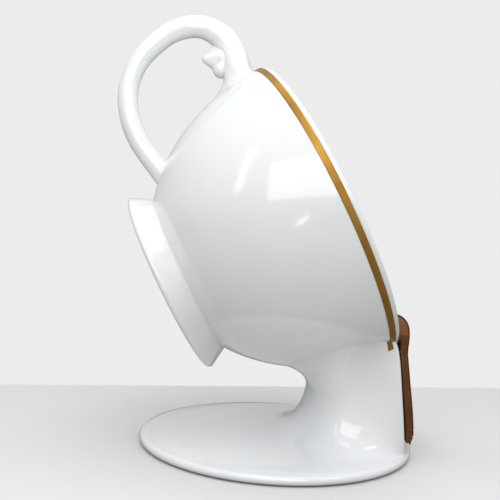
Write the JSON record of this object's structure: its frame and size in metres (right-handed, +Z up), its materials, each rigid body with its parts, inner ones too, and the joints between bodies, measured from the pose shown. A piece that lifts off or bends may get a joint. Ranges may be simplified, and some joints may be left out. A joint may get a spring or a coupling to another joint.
{
  "type": "teacup-shaped lounge chair",
  "caption": "Lounge chair shaped like a tipped teacup; the poured tea is its pedestal and round base, with a leather seat and hanging front fall.",
  "frame": {"origin": "on the floor, under the centre of the round base, at the underside of the middle pad", "axes": "+Z up; the chair faces -Y, with its handle and foot ring towards +Y; left and right mirror across X = 0"},
  "size_m": [0.922, 0.9293, 1.2817],
  "materials": {
    "white_gelcoat": "high-gloss gel-coat over glass fibre",
    "white_panel": "satin white panel",
    "gold_trim": "polished gold-coloured metal",
    "frame_steel": "black powder coat",
    "zinc_steel": "zinc plated",
    "plywood": "sealed birch plywood",
    "rubber": "matt",
    "nylon_tape": "woven nylon",
    "foam": "open-cell foam",
    "brown_leather": "semi-gloss grained leather",
    "leather_piping": "semi-gloss leather welt"
  },
  "bodies": {
    "root": {"cup_shell": "white_gelcoat", "seat_bucket": "white_gelcoat", "rim_bead": "white_gelcoat", "gold_band": "gold_trim", "foot_ring": "white_gelcoat", "foot_cap": "white_panel", "foot_cap_screws": "zinc_steel", "handle_tube": "white_gelcoat", "handle_core": "frame_steel", "handle_plates": "zinc_steel", "handle_nuts": "zinc_steel", "thumb_rest": "white_gelcoat", "pedestal_shell": "white_gelcoat", "base_plate": "frame_steel", "base_blocks": "plywood", "base_screws": "zinc_steel", "floor_pads": "rubber", "frame_posts": "frame_steel", "post_gussets": "frame_steel", "saddle_plate": "frame_steel", "pan_pads": "rubber", "pan_bolts": "zinc_steel", "mid_rib": "plywood", "rear_rib": "plywood", "hook_strips": "nylon_tape"},
    "seat_cushion": {"loop_strips": "nylon_tape", "seat_board": "plywood", "seat_foam": "foam", "seat_cover": "brown_leather", "seat_piping": "leather_piping", "seat_zip": "nylon_tape", "front_roll": "brown_leather"},
    "front_fall": {"fall_pad": "brown_leather", "fall_backing": "brown_leather", "fall_piping": "leather_piping", "fall_hem_weight": "zinc_steel"}
  },
  "joints": [
    {"name": "cushion_lift", "type": "slide", "parent": "root", "child": "seat_cushion", "axis": [0, -0.8788, 0.4772], "range_m": [0, 0.6]},
    {"name": "fall_swing", "type": "hinge", "parent": "seat_cushion", "child": "front_fall", "pos_m": [0, -0.368, 0.308], "axis": [-1, 0, 0], "range_deg": [0, 90]}
  ]
}
